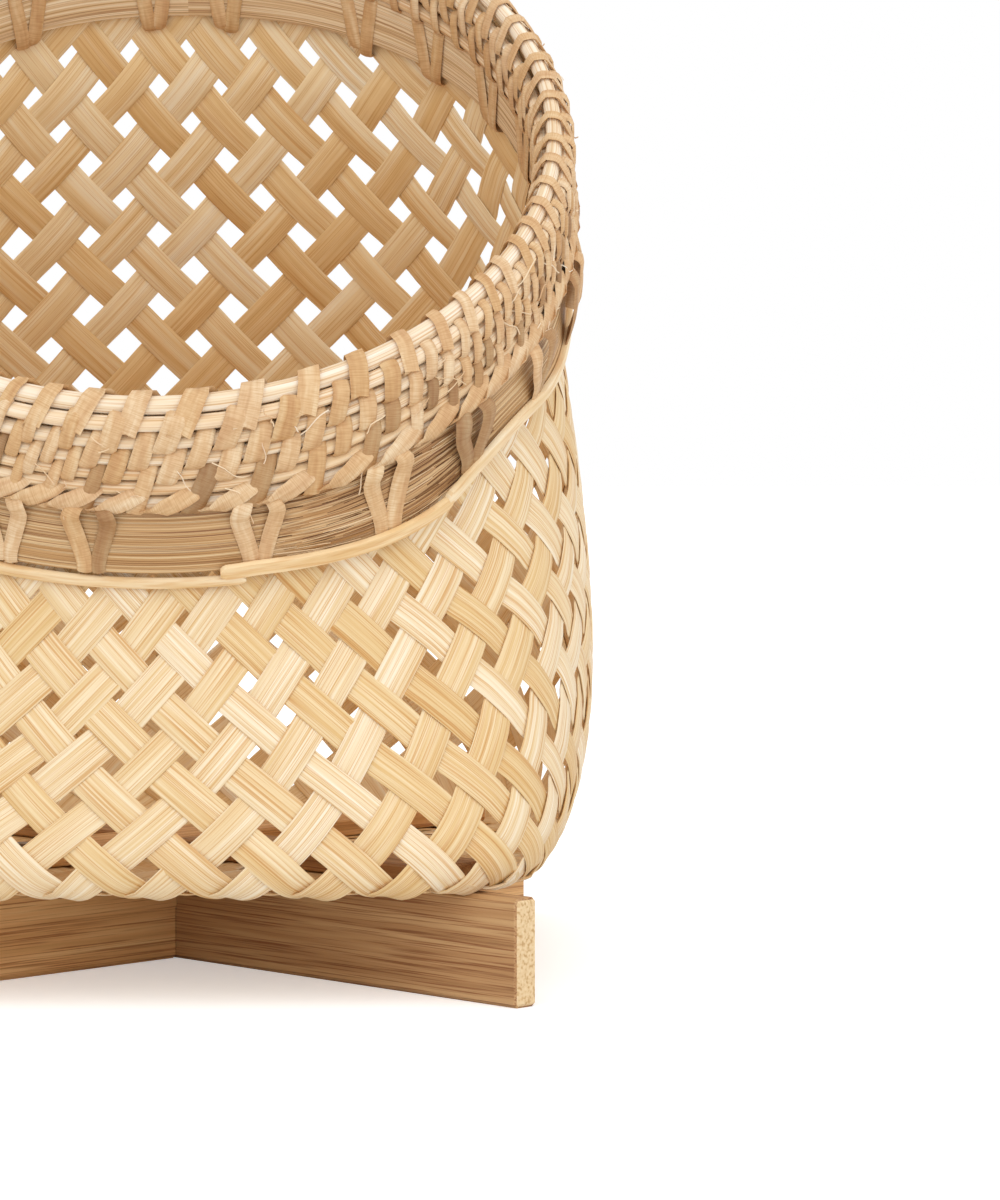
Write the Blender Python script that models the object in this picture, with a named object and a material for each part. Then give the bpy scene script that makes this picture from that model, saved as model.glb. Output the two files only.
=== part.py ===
"""A square-bottomed bamboo basket with a slanted round mouth, standing on a cross of two slats.

All sizes are in metres. +Z is up, the low side of the mouth faces -Y, and the origin
lies on the floor under the crossing of the two foot slats.
"""

import math

import bmesh
import bpy
from mathutils import Matrix, Vector

# Clearance between pieces that touch on the real basket.
GAP = 0.0003

# Foot: two slats on edge, half-lapped into a cross along the diagonals.
FOOT_OVERHANG = 0.0179
FOOT_HEIGHT = 0.031
FOOT_THICK = 0.0085
FOOT_EDGE_ROUND = 0.0012

# Woven body: a rounded square at the bottom and a circle at the neck.
WALL = 0.0018
BASE_HALF = 0.109
BASE_SQUARENESS = 4.5
WALL_SWELL = 0.20
WALL_LIFT = 0.10
NECK_REACH = 0.28
NECK_SWELL = 0.04

# Slanted mouth: a slightly conical collar between two tilted circles.
MOUTH_TOP_Y = -0.028
MOUTH_TOP_Z = 0.2505
MOUTH_TOP_TILT = math.radians(44.5)
MOUTH_LOW_Y = -0.0115
MOUTH_LOW_Z = 0.1981
MOUTH_LOW_TILT = math.radians(41.8)
COLLAR_TOP_RADIUS = 0.1162
COLLAR_FLARE = 0.0023
# Share of the radius by which the low circle bulges towards the four corners.
COLLAR_SQUARENESS = 0.018

# Reeds of the braided rim, as depths below the top reed.
REED_RADIUS = 0.0020
TOP_REED_RADIUS = 0.0021
OUTER_REED_DEPTHS = (0.0037, 0.0092, 0.0144, 0.0190, 0.02375, 0.0283)
INNER_REED_DEPTHS = (0.0058, 0.0114, 0.0170)

# Hoops of split bamboo, nested outside and inside the wall. The outer one narrows to the back,
# where its low edge and the bead rise. They also rise a little where they cut the front corners.
OUTER_HOOP_THICK = 0.0028
OUTER_HOOP_WIDTH = 0.0198
OUTER_HOOP_BACK_RISE = 0.0145
OUTER_HOOP_CORNER_RISE = 0.0078
CORNER_RISE_PLACE = math.radians(56.0)
CORNER_RISE_SPREAD = math.radians(14.0)
INNER_HOOP_THICK = 0.0022
INNER_HOOP_WIDTH = 0.0150
BEAD_WIDTH = 0.0050
BEAD_THICK = 0.0024

# Lashings: V-shaped pairs of cane over the outer hoop. The angles run from the front towards
# +X. Unseen lashings fill each wider gap evenly, about one pitch apart.
LASHING_SEEN_DEGREES = (-19.9, -7.8, 14.6, 32.9, 47.2, 63.6, 80.0, 122.3, 137.0, 150.8, 173.8, 185.7, 206.5)
LASHING_PITCH_DEGREES = 16.3
LASHING_WIDE_GAP_DEGREES = 30.0
LASHING_BAND = 0.0042
LASHING_THICK = 0.0009
LASHING_SPREAD = 0.0022
LASHING_OVERHANG = 0.0010
LASHING_NOTCH_SHARE = 0.75

# Flat slats on the woven floor, nailed through it into the foot.
FLOOR_SLAT_MARGIN = 0.0101
FLOOR_SLAT_WIDTH = 0.026
FLOOR_SLAT_THICK = 0.0050
FLOOR_SLAT_EDGE_ROUND = 0.0006
NAIL_DISTANCE = 0.060
NAIL_SHANK_RADIUS = 0.0011
NAIL_HEAD_RADIUS = 0.0030
NAIL_HEAD_THICK = 0.0010
NAIL_BITE = 0.018
NAIL_POINT = 0.0022
NAIL_TIP_RADIUS = 0.0003

# Openings of the weave: a plain lattice of diamonds, coarser than the real one.
WEAVE_COLUMNS = 48
WEAVE_ROWS = 10
WEAVE_OPENING = 0.34
FLOOR_RING_SHARES = (0.35, 0.7)

# Facets.
RING_SIDES = 48
REED_FACETS = 6
NAIL_SIDES = 12

# Derived places.
CORNER_REACH = BASE_HALF * 2.0 ** (0.5 - 1.0 / BASE_SQUARENESS)
FOOT_ARM = CORNER_REACH + FOOT_OVERHANG
FLOOR_SLAT_ARM = CORNER_REACH - FLOOR_SLAT_MARGIN
COLLAR_LOW_RADIUS = COLLAR_TOP_RADIUS + COLLAR_FLARE
FLOOR_BOTTOM = FOOT_HEIGHT + GAP
FLOOR_TOP = FLOOR_BOTTOM + WALL
FLOOR_SLAT_BOTTOM = FLOOR_TOP + GAP
FLOOR_SLAT_TOP = FLOOR_SLAT_BOTTOM + FLOOR_SLAT_THICK
COLLAR_DROP = math.hypot(MOUTH_LOW_Y - MOUTH_TOP_Y, MOUTH_LOW_Z - MOUTH_TOP_Z)
HOOP_TOP_DEPTH = OUTER_REED_DEPTHS[-1] + REED_RADIUS + 2 * GAP
HOOP_LOW_DEPTH = HOOP_TOP_DEPTH + OUTER_HOOP_WIDTH
BEAD_TOP_DEPTH = HOOP_LOW_DEPTH + GAP
BEAD_LOW_DEPTH = BEAD_TOP_DEPTH + BEAD_WIDTH
INNER_HOOP_TOP_DEPTH = INNER_REED_DEPTHS[-1] + REED_RADIUS + 2 * GAP
WALL_TOP_DEPTH = TOP_REED_RADIUS + GAP
FACET_SAG = COLLAR_LOW_RADIUS * (1.0 - math.cos(math.pi / RING_SIDES))


def clear_scene():
    for obj in list(bpy.data.objects):
        bpy.data.objects.remove(obj, do_unlink=True)


def material(name, colour, roughness, metallic=0.0):
    made = bpy.data.materials.new(name)
    made.use_nodes = True
    shader = made.node_tree.nodes["Principled BSDF"]
    shader.inputs["Base Color"].default_value = (*colour, 1.0)
    shader.inputs["Roughness"].default_value = roughness
    shader.inputs["Metallic"].default_value = metallic
    made.diffuse_color = (*colour, 1.0)
    return made


def object_from(bm, name, finish, smooth_angle=40.0):
    """Closes a bmesh into a named object with outward faces."""
    bmesh.ops.recalc_face_normals(bm, faces=bm.faces)
    mesh = bpy.data.meshes.new(name)
    bm.to_mesh(mesh)
    bm.free()
    mesh.shade_smooth()
    mesh.set_sharp_from_angle(angle=math.radians(smooth_angle))
    mesh.materials.append(finish)
    obj = bpy.data.objects.new(name, mesh)
    bpy.context.collection.objects.link(obj)
    return obj


def blend(a, b, share):
    return a + (b - a) * share


def mouth_point(depth, radius, angle):
    """A point on the collar: depth below the top reed, radius from its axis, angle from +X to +Y."""
    share = depth / COLLAR_DROP
    tilt = blend(MOUTH_TOP_TILT, MOUTH_LOW_TILT, share)
    centre_y = blend(MOUTH_TOP_Y, MOUTH_LOW_Y, share)
    centre_z = blend(MOUTH_TOP_Z, MOUTH_LOW_Z, share)
    across = radius * math.sin(angle)
    return Vector((
        radius * math.cos(angle),
        centre_y + across * math.cos(tilt),
        centre_z + across * math.sin(tilt),
    ))


def wall_radius(depth, angle):
    """Outer radius of the woven wall inside the collar, growing slightly square downwards."""
    share = depth / COLLAR_DROP
    bulge = 1.0 - COLLAR_SQUARENESS * share * math.cos(4 * angle)
    return blend(COLLAR_TOP_RADIUS, COLLAR_LOW_RADIUS, share) * bulge


def hoop_rise(angle):
    """How far the outer hoop's low edge rises: at the back, and at the two front corners."""
    behind = max(0.0, math.sin(angle))
    from_front = math.acos(-math.sin(angle))
    off_corner = (from_front - CORNER_RISE_PLACE) / CORNER_RISE_SPREAD
    at_back = OUTER_HOOP_BACK_RISE * behind * behind * (3.0 - 2.0 * behind)
    return at_back + OUTER_HOOP_CORNER_RISE * math.exp(-off_corner * off_corner)


def base_radius(angle, half):
    """Polar radius of the rounded square of the bottom."""
    n = BASE_SQUARENESS
    spread = abs(math.cos(angle)) ** n + abs(math.sin(angle)) ** n
    return half / spread ** (1.0 / n)


def wall_point(angle, share, inset):
    """A point of the wall between the bottom edge (0) and the bead (1), as a cubic curve."""
    outward = Vector((math.cos(angle), math.sin(angle), 0.0))
    neck_radius = wall_radius(BEAD_LOW_DEPTH, angle)
    neck_outer = mouth_point(BEAD_LOW_DEPTH, neck_radius, angle)
    height = neck_outer.z - FLOOR_BOTTOM
    start = outward * base_radius(angle, BASE_HALF - inset)
    start.z = FLOOR_BOTTOM + inset
    end = mouth_point(BEAD_LOW_DEPTH, neck_radius - inset, angle)
    along = mouth_point(BEAD_LOW_DEPTH + COLLAR_DROP, neck_radius, angle) - neck_outer
    along.normalize()
    lift = start + outward * (WALL_SWELL * height) + Vector((0, 0, WALL_LIFT * height))
    reach = end + along * (NECK_REACH * height) + outward * (NECK_SWELL * height)
    rest = 1.0 - share
    return (
        start * rest ** 3
        + lift * (3 * rest * rest * share)
        + reach * (3 * rest * share * share)
        + end * share ** 3
    )


def at_level(level, values):
    """A value between the listed ones, for a level that may lie between two of them."""
    index = min(int(level), len(values) - 2)
    return blend(values[index], values[index + 1], level - index)


def body_point(level, column, inset):
    """A point of the body. Levels count from the floor's inner ring up to the wall's top edge."""
    angle = 2 * math.pi * column / WEAVE_COLUMNS
    edge_level = len(FLOOR_RING_SHARES)
    neck_level = edge_level + WEAVE_ROWS
    if level < edge_level:
        reach = base_radius(angle, BASE_HALF - inset) * at_level(level, FLOOR_RING_SHARES + (1.0,))
        return Vector((reach * math.cos(angle), reach * math.sin(angle), FLOOR_BOTTOM + inset))
    if level <= neck_level:
        return wall_point(angle, (level - edge_level) / WEAVE_ROWS, inset)
    depth = at_level(level - neck_level, (BEAD_LOW_DEPTH, HOOP_TOP_DEPTH, WALL_TOP_DEPTH))
    return mouth_point(depth, wall_radius(depth, angle) - inset, angle)


def is_open(level, column):
    """Every second cell of the wall, offset from row to row. On the floor, clear of the slats."""
    edge_level = len(FLOOR_RING_SHARES)
    if level >= edge_level + WEAVE_ROWS or level < edge_level - 1 or (level + column) % 2:
        return False
    quarter = WEAVE_COLUMNS // 4
    beside_slat = quarter / 3 <= (column + 0.5) % quarter <= quarter * 2 / 3
    return level >= edge_level or not beside_slat


def body_skin(bm, inset):
    """One face of the shell, with a diamond left out of each open cell."""
    levels = len(FLOOR_RING_SHARES) + WEAVE_ROWS + 3
    rings = []
    for level in range(levels):
        rings.append([bm.verts.new(body_point(level, c, inset)) for c in range(WEAVE_COLUMNS)])
    diamonds = []
    bm.faces.new(rings[0])
    for level in range(levels - 1):
        for column in range(WEAVE_COLUMNS):
            after = (column + 1) % WEAVE_COLUMNS
            low, high = rings[level], rings[level + 1]
            corners = (low[column], low[after], high[after], high[column])
            if not is_open(level, column):
                bm.faces.new(corners)
                continue
            diamond = []
            for along, up in ((0, -1), (1, 0), (0, 1), (-1, 0)):
                place = (level + 0.5 + up * WEAVE_OPENING, column + 0.5 + along * WEAVE_OPENING)
                diamond.append(bm.verts.new(body_point(*place, inset)))
            for side in range(4):
                bm.faces.new((corners[side], corners[(side + 1) % 4], diamond[side]))
                bm.faces.new((corners[(side + 1) % 4], diamond[(side + 1) % 4], diamond[side]))
            diamonds.append(diamond)
    return rings, diamonds


def bridge(bm, lower, upper):
    count = len(lower)
    for i in range(count):
        bm.faces.new((lower[i], lower[(i + 1) % count], upper[(i + 1) % count], upper[i]))


def woven_body(finish):
    """The woven bottom and wall as one thin shell with a lattice of openings."""
    bm = bmesh.new()
    outer, outer_diamonds = body_skin(bm, 0.0)
    inner, inner_diamonds = body_skin(bm, WALL)
    bridge(bm, outer[-1], inner[-1])
    for outer_diamond, inner_diamond in zip(outer_diamonds, inner_diamonds):
        bridge(bm, outer_diamond, inner_diamond)
    body = object_from(bm, "woven_body", finish)
    for index, place in enumerate(nail_places()):
        cut_hole(body, f"body_nail_cutter_{index}", place, FLOOR_BOTTOM - WALL, FLOOR_TOP + WALL)
    return body


def swept_ring(name, section, finish):
    """A closed ring. section(angle) lists the (depth, distance out from the wall) corners."""
    bm = bmesh.new()
    loops = []
    for i in range(RING_SIDES):
        angle = 2 * math.pi * i / RING_SIDES
        loop = []
        for depth, out in section(angle):
            loop.append(bm.verts.new(mouth_point(depth, wall_radius(depth, angle) + out, angle)))
        loops.append(loop)
    for i in range(RING_SIDES):
        bridge(bm, loops[i], loops[(i + 1) % RING_SIDES])
    return object_from(bm, name, finish, 50.0)


def reed(name, depth, offset, thickness, finish):
    """A round reed bent into a ring of the collar. offset is its centre's distance from the wall."""
    corners = []
    for i in range(REED_FACETS):
        turn = 2 * math.pi * (i + 0.5) / REED_FACETS
        corners.append((depth + thickness * math.sin(turn), offset + thickness * math.cos(turn)))
    return swept_ring(name, lambda angle: corners, finish)


def hoop(name, top, low, offset, thick, finish):
    """A flat strip bent into a ring. top and low are each a depth and a share of the hoop's rise."""
    def section(angle):
        high_edge = top[0] - top[1] * hoop_rise(angle)
        low_edge = low[0] - low[1] * hoop_rise(angle)
        outer = offset + thick
        return ((high_edge, offset), (high_edge, outer), (low_edge, outer), (low_edge, offset))

    return swept_ring(name, section, finish)


def lashing(name, angle, finish):
    """Two cane bands that start apart under the braid and meet at the bead."""
    top = HOOP_TOP_DEPTH
    low = HOOP_LOW_DEPTH - hoop_rise(angle) - LASHING_OVERHANG
    notch = blend(top, low, LASHING_NOTCH_SHARE)
    radius = wall_radius(low, angle) + GAP + OUTER_HOOP_THICK
    half_gap = LASHING_SPREAD / radius
    band = LASHING_BAND / radius
    outline = [
        (top, -half_gap - band),
        (top, -half_gap),
        (notch, 0.0),
        (top, half_gap),
        (top, half_gap + band),
        (low, band),
        (low, -band),
    ]
    bm = bmesh.new()
    skins = []
    for lift in (0.0, LASHING_THICK):
        skin = []
        for depth, turn in outline:
            outside = 2 * GAP + OUTER_HOOP_THICK + FACET_SAG / 2 + lift
            height = wall_radius(depth, angle + turn) + outside
            skin.append(bm.verts.new(mouth_point(depth, height, angle + turn)))
        skins.append(skin)
    bridge(bm, skins[0], skins[1])
    for skin in skins:
        bmesh.ops.triangulate(bm, faces=[bm.faces.new(skin)])
    return object_from(bm, name, finish)


def lashing_angles():
    """Angles from +X to +Y: the seen lashings, and even ones in each wide gap between them."""
    degrees = []
    again = LASHING_SEEN_DEGREES[1:] + (LASHING_SEEN_DEGREES[0] + 360.0,)
    for first, second in zip(LASHING_SEEN_DEGREES, again):
        gap = second - first
        parts = round(gap / LASHING_PITCH_DEGREES) if gap > LASHING_WIDE_GAP_DEGREES else 1
        degrees += [first + gap * index / parts for index in range(parts)]
    return [math.radians(degree - 90.0) for degree in degrees]


def box(name, size, centre, finish, edge_round):
    bm = bmesh.new()
    bmesh.ops.create_cube(bm, size=1.0, matrix=Matrix.Diagonal((*size, 1.0)))
    if edge_round:
        bmesh.ops.bevel(bm, geom=bm.edges, offset=edge_round, segments=1, affect="EDGES")
    obj = object_from(bm, name, finish, 60.0)
    obj.location = centre
    return obj


def hide_cutter(obj):
    obj.hide_render = True
    obj.display_type = "WIRE"


def subtract(target, cutter):
    hide_cutter(cutter)
    cut = target.modifiers.new(cutter.name, "BOOLEAN")
    cut.operation = "DIFFERENCE"
    cut.solver = "EXACT"
    cut.object = cutter


def cut_hole(target, name, place, low, high):
    """A round hole for a nail's shank, from low to high."""
    bm = bmesh.new()
    reach = NAIL_SHANK_RADIUS + GAP
    bmesh.ops.create_cone(
        bm, cap_ends=True, segments=NAIL_SIDES, radius1=reach, radius2=reach, depth=high - low
    )
    cutter = object_from(bm, name, target.data.materials[0])
    cutter.location = (place[0], place[1], (low + high) / 2)
    subtract(target, cutter)


def diagonal_slat(name, side, arm, width, low, thick, lap_from, edge_round, finish):
    """A slat along one diagonal, half-lapped at the crossing. side is 1 or -1."""
    middle = low + thick / 2
    slat = box(name, (2 * arm, width, thick), (0.0, 0.0, middle), finish, edge_round)
    slat.rotation_euler.z = side * math.radians(45.0)
    above = 1.0 if lap_from == "above" else -1.0
    lap_centre = middle + above * (thick - GAP) / 2
    lap = box(name + "_lap", (width + 2 * GAP, 2 * width, thick), (0.0, 0.0, lap_centre), finish, 0.0)
    lap.rotation_euler.z = slat.rotation_euler.z
    subtract(slat, lap)
    return slat


def nail_places():
    reach = NAIL_DISTANCE / math.sqrt(2.0)
    return [(reach, -reach), (reach, reach), (-reach, reach), (-reach, -reach)]


def floor_nail(name, place, finish):
    """A flat-headed nail standing in the floor slat, the woven floor and the foot."""
    bm = bmesh.new()
    under_head = FLOOR_SLAT_TOP + GAP
    tip = FOOT_HEIGHT - NAIL_BITE
    heights = [tip, tip + NAIL_POINT, under_head, under_head, under_head + NAIL_HEAD_THICK]
    radii = [NAIL_TIP_RADIUS, NAIL_SHANK_RADIUS, NAIL_SHANK_RADIUS, NAIL_HEAD_RADIUS, NAIL_HEAD_RADIUS]
    rings = []
    for height, radius in zip(heights, radii):
        ring = []
        for i in range(NAIL_SIDES):
            turn = 2 * math.pi * i / NAIL_SIDES
            ring.append(bm.verts.new((radius * math.cos(turn), radius * math.sin(turn), height)))
        rings.append(ring)
    for lower, upper in zip(rings, rings[1:]):
        bridge(bm, lower, upper)
    bm.faces.new(rings[0])
    bm.faces.new(rings[-1])
    nail = object_from(bm, name, finish)
    nail.location = (place[0], place[1], 0.0)
    return nail


def foot(finish):
    slats = []
    for name, side, lap in (("foot_slat_right", -1, "above"), ("foot_slat_left", 1, "below")):
        slats.append(diagonal_slat(
            name, side, FOOT_ARM, FOOT_THICK, 0.0, FOOT_HEIGHT, lap, FOOT_EDGE_ROUND, finish
        ))
    drill_slats(slats, FOOT_HEIGHT - NAIL_BITE - GAP, FOOT_HEIGHT + WALL)


def floor_slats(finish):
    slats = []
    for name, side, lap in (("floor_slat_right", -1, "above"), ("floor_slat_left", 1, "below")):
        slats.append(diagonal_slat(
            name, side, FLOOR_SLAT_ARM, FLOOR_SLAT_WIDTH, FLOOR_SLAT_BOTTOM, FLOOR_SLAT_THICK,
            lap, FLOOR_SLAT_EDGE_ROUND, finish,
        ))
    drill_slats(slats, FLOOR_SLAT_BOTTOM - WALL, FLOOR_SLAT_TOP + WALL)


def drill_slats(slats, low, high):
    """Nail holes: the first slat runs through places 0 and 2, the second through 1 and 3."""
    for index, place in enumerate(nail_places()):
        slat = slats[index % 2]
        cut_hole(slat, f"{slat.name}_nail_cutter_{index}", place, low, high)


def rim_reeds(finish):
    reed("rim_reed_top", 0.0, -WALL / 2, TOP_REED_RADIUS, finish)
    outside = GAP + REED_RADIUS
    for index, depth in enumerate(OUTER_REED_DEPTHS):
        reed(f"rim_reed_outer_{index + 1}", depth, outside, REED_RADIUS, finish)
    inside = -(WALL + GAP + REED_RADIUS)
    for index, depth in enumerate(INNER_REED_DEPTHS):
        reed(f"rim_reed_inner_{index + 1}", depth, inside, REED_RADIUS, finish)


def hoops(split_bamboo, cane):
    hoop("outer_hoop", (HOOP_TOP_DEPTH, 0.0), (HOOP_LOW_DEPTH, 1.0), GAP, OUTER_HOOP_THICK, split_bamboo)
    hoop("bead_strip", (BEAD_TOP_DEPTH, 1.0), (BEAD_LOW_DEPTH, 1.0), GAP, BEAD_THICK, cane)
    low = INNER_HOOP_TOP_DEPTH + INNER_HOOP_WIDTH
    offset = -WALL - GAP - INNER_HOOP_THICK
    hoop("inner_hoop", (INNER_HOOP_TOP_DEPTH, 0.0), (low, 0.0), offset, INNER_HOOP_THICK, split_bamboo)


def main():
    clear_scene()
    strips = material("bamboo_strips", (0.80, 0.63, 0.38), 0.55)
    split_bamboo = material("split_bamboo", (0.49, 0.31, 0.13), 0.6)
    slat_bamboo = material("bamboo_slats", (0.45, 0.27, 0.11), 0.6)
    reeds = material("rattan_core", (0.80, 0.63, 0.42), 0.65)
    cane = material("cane", (0.72, 0.50, 0.27), 0.5)
    steel = material("nail_steel", (0.35, 0.34, 0.33), 0.45, 0.9)
    foot(slat_bamboo)
    woven_body(strips)
    floor_slats(slat_bamboo)
    for index, place in enumerate(nail_places()):
        floor_nail(f"floor_nail_{index + 1}", place, steel)
    hoops(split_bamboo, cane)
    rim_reeds(reeds)
    for index, angle in enumerate(lashing_angles()):
        lashing(f"lashing_{index + 1:02d}", angle, cane)


main()
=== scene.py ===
# %% [markdown]
# # A bamboo basket with a slanted mouth
# The basket is plaited from flat bamboo strips, finished with a braided reed rim and hoops,
# and nailed to a cross of slats. This lesson dresses the measured frame of that basket.
# Places and sizes are those of the frame.

# %% Load the frame
import math

import bmesh
import bpy
import numpy as np
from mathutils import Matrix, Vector


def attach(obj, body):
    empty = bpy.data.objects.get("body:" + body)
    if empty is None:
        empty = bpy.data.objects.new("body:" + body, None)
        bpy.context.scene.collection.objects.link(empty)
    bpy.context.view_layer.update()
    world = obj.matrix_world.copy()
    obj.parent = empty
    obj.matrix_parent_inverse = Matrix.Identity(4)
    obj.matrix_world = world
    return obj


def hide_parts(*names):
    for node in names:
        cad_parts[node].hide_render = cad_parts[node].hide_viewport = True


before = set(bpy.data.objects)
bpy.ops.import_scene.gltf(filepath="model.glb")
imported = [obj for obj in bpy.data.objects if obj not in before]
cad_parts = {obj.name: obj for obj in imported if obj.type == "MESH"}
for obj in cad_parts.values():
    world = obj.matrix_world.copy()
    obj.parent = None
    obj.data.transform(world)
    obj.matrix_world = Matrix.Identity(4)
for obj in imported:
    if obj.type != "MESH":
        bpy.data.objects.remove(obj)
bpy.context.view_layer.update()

rng = np.random.default_rng(7)
print("frame nodes:", len(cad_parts))

# %% [markdown]
# ## The collar's own coordinates
# The mouth is a slightly conical collar that leans back. A point on it is easiest to name by
# its depth below the rim, its distance out from the woven wall and its angle round the slanted
# axis. The numbers repeat those of the frame, in metres.

# %% Collar sizes
GAP = 0.0003
WALL = 0.0018
FLOOR_BOTTOM = 0.031 + GAP
MOUTH_TOP = (-0.028, 0.2505, math.radians(44.5))
MOUTH_LOW = (-0.0115, 0.1981, math.radians(41.8))
COLLAR_TOP_RADIUS, COLLAR_FLARE, COLLAR_SQUARENESS = 0.1162, 0.0023, 0.018
COLLAR_DROP = math.hypot(MOUTH_LOW[0] - MOUTH_TOP[0], MOUTH_LOW[1] - MOUTH_TOP[1])
REED_RADIUS, TOP_REED_RADIUS = 0.0020, 0.0024
OUTER_REED_DEPTHS = (0.0037, 0.0092, 0.0144, 0.0190, 0.02375, 0.0283)
INNER_REED_DEPTHS = (0.0058, 0.0114, 0.0170)
HOOP_TOP = OUTER_REED_DEPTHS[-1] + REED_RADIUS + 2 * GAP
HOOP_LOW = HOOP_TOP + 0.0198
HOOP_BACK_RISE, HOOP_CORNER_RISE = 0.0145, 0.0078
CORNER_RISE_PLACE, CORNER_RISE_SPREAD = math.radians(56.0), math.radians(14.0)
HOOP_THICK = 0.0028
BRAID_DRAW = 0.0036
# The braid is drawn together from this many degrees off the front, and fully this many later.
DRAW_RIGHT, DRAW_LEFT = (20.0, 24.0), (25.0, 45.0)
BEAD_WIDTH, BEAD_THICK = 0.0050, 0.0024
BEAD_LOW = HOOP_LOW + GAP + BEAD_WIDTH
INNER_HOOP_TOP = INNER_REED_DEPTHS[-1] + REED_RADIUS + 2 * GAP
INNER_HOOP_LOW = INNER_HOOP_TOP + 0.0150
INNER_HOOP_THICK = 0.0022


# %% Collar coordinates
def wall_radius(depth, angle):
    share = np.asarray(depth, float) / COLLAR_DROP
    bulge = 1.0 - COLLAR_SQUARENESS * share * np.cos(4 * np.asarray(angle, float))
    return (COLLAR_TOP_RADIUS + COLLAR_FLARE * share) * bulge


def collar(depth, out, angle):
    """Points on the collar. Any of the three may be an array."""
    depth, out, angle = np.broadcast_arrays(*(np.asarray(v, float) for v in (depth, out, angle)))
    share = depth / COLLAR_DROP
    centre_y, centre_z, tilt = (a + (b - a) * share for a, b in zip(MOUTH_TOP, MOUTH_LOW))
    radius = wall_radius(depth, angle) + out
    across = radius * np.sin(angle)
    y, z = centre_y + across * np.cos(tilt), centre_z + across * np.sin(tilt)
    return np.stack([radius * np.cos(angle), y, z], axis=-1)


def smooth_step(x):
    x = np.clip(x, 0.0, 1.0)
    return x * x * (3.0 - 2.0 * x)


def hoop_rise(angle):
    """How far the outer hoop's low edge rises: at the back, and at the two front corners."""
    behind = np.maximum(0.0, np.sin(angle))
    off_corner = (np.arccos(-np.sin(angle)) - CORNER_RISE_PLACE) / CORNER_RISE_SPREAD
    at_back = HOOP_BACK_RISE * behind ** 2 * (3.0 - 2.0 * behind)
    return at_back + HOOP_CORNER_RISE * np.exp(-off_corner ** 2)


def drawn_up(depth, angle):
    """Depth outside once the braid is drawn together, which it is everywhere but at the front."""
    place = (np.degrees(angle) + 270.0) % 360.0 - 180.0
    right = smooth_step((place - DRAW_RIGHT[0]) / DRAW_RIGHT[1])
    left = smooth_step((-DRAW_LEFT[0] - place) / DRAW_LEFT[1])
    low = HOOP_LOW - hoop_rise(angle)
    share = np.minimum(depth / HOOP_TOP, (low - depth) / (low - HOOP_TOP))
    return depth - BRAID_DRAW * np.maximum(right, left) * np.clip(share, 0.0, 1.0)


print("collar drop in mm:", round(COLLAR_DROP * 1000, 1))

# %% [markdown]
# ## Ribbons
# Every piece of cane or bamboo strip is the same thing: a row of cross-sections joined by
# faces, with a texture map that runs along it in metres and a tone that differs from strip to
# strip. One small class collects the ribbons of a piece and builds them as one mesh.

# %% Ribbons
STRIP_SECTION = ((-1.0, 0.0), (-0.88, 1.0), (0.0, 1.0), (0.88, 1.0), (1.0, 0.0),
                 (0.88, -1.0), (0.0, -1.0), (-0.88, -1.0))
CANE_SECTION = ((-1.0, -0.3), (-0.72, 0.75), (0.0, 1.0), (0.72, 0.75), (1.0, -0.3), (0.0, -1.0))
# Each ribbon's map starts anywhere within this many metres, so that no two look alike.
MAP_SHIFT = 40.0


def unit(v):
    return v / np.maximum(np.linalg.norm(v, axis=-1, keepdims=True), 1e-12)


def length_along(points):
    steps = np.linalg.norm(np.diff(points, axis=0), axis=1)
    return np.concatenate([[0.0], np.cumsum(steps)])


class Ribbons:
    """Collects ribbons and turns them into one mesh."""

    def __init__(self, section):
        self.section = section
        self.points, self.faces, self.uvs, self.tones, self.slots = [], [], [], [], []
        self.count = 0

    def add(self, centre, side, normal, half, thick, tone, crown=0.0):
        """centre, side and normal are rows of vectors. half and thick may vary along it."""
        n, k, section = len(centre), len(self.section), self.section
        half = np.broadcast_to(np.asarray(half, float), (n,))
        thick = np.broadcast_to(np.asarray(thick, float), (n,))
        rows = []
        for across, up in section:
            lift = up * thick / 2 + crown * (1.0 - across * across)
            rows.append(centre + side * (across * half)[:, None] + normal * lift[:, None])
        along = length_along(centre) + rng.uniform(0, MAP_SHIFT)
        base = self.count
        self.points.append(np.stack(rows, axis=1).reshape(-1, 3))
        self.count += n * k
        for i in range(n - 1):
            here, there = along[i], along[i + 1]
            for j in range(k):
                after = (j + 1) % k
                a, b = base + i * k + j, base + i * k + after
                self.faces.append((a, b, b + k, a + k))
                u, v = section[j][0] * half[i], section[after][0] * half[i]
                self.uvs.append(((u, here), (v, here), (v, there), (u, there)))
                self.slots.append(0 if section[j][1] + section[after][1] > 0 else 1)
        for i, turn in ((0, 1), (n - 1, -1)):
            self.faces.append(tuple(base + i * k + j for j in range(k))[::turn])
            self.uvs.append(tuple((section[j][0] * half[i], along[i]) for j in range(k))[::turn])
            self.slots.append(1)
        self.tones.append(np.full(n * k, tone))

    def build(self, name, materials):
        mesh = bpy.data.meshes.new(name)
        mesh.from_pydata(np.concatenate(self.points).tolist(), [], self.faces)
        layer = mesh.uv_layers.new(name="UVMap")
        flat = np.array([c for face in self.uvs for c in face], np.float32)
        layer.data.foreach_set("uv", flat.reshape(-1))
        set_tone(mesh, np.concatenate(self.tones))
        for m in materials:
            mesh.materials.append(m)
        if len(materials) > 1:
            mesh.polygons.foreach_set("material_index", self.slots)
        obj = bpy.data.objects.new(name, mesh)
        bpy.context.scene.collection.objects.link(obj)
        finish_faces(mesh, 50.0)
        print(name, "faces:", len(mesh.polygons))
        return obj


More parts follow.
